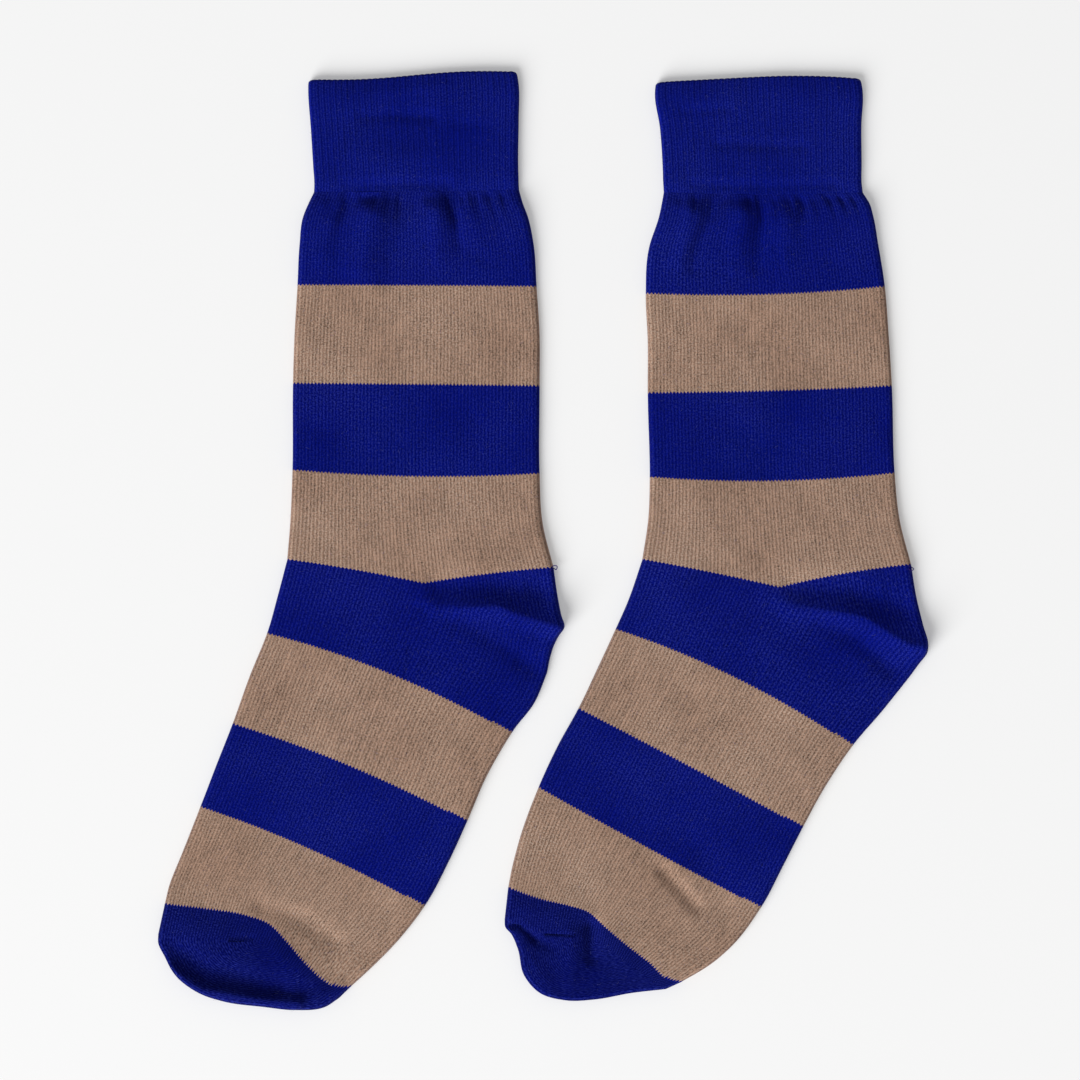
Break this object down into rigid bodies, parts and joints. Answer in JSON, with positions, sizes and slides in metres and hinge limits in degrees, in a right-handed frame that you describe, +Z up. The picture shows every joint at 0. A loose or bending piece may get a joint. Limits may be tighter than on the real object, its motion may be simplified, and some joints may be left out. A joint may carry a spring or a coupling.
{
  "type": "pair of socks",
  "caption": "Pair of crew socks laid flat on their sides, with ribbed cuffs, turned heels, rounded toes and broad stripes.",
  "frame": {"origin": "middle of the pair's footprint, on the surface that the socks lie on", "axes": "+X across the pair from the left sock to the right one, +Y towards the cuffs, +Z up from the surface"},
  "size_m": [0.3074, 0.376, 0.0067],
  "materials": {
    "rib_knit": "royal blue one-by-one rib knit, matt, with fine upright ribs",
    "plain_knit": "royal blue fine jersey knit, matt cotton with a faint nap",
    "striped_knit": "fine cotton jersey knitted in broad bands of royal blue and taupe, matt, visible wales"
  },
  "bodies": {
    "root": {"left_cuff": "rib_knit", "left_leg": "striped_knit", "left_heel": "plain_knit", "left_foot": "striped_knit", "left_toe": "plain_knit", "right_cuff": "rib_knit", "right_leg": "striped_knit", "right_heel": "plain_knit", "right_foot": "striped_knit", "right_toe": "plain_knit"}
  },
  "joints": []
}
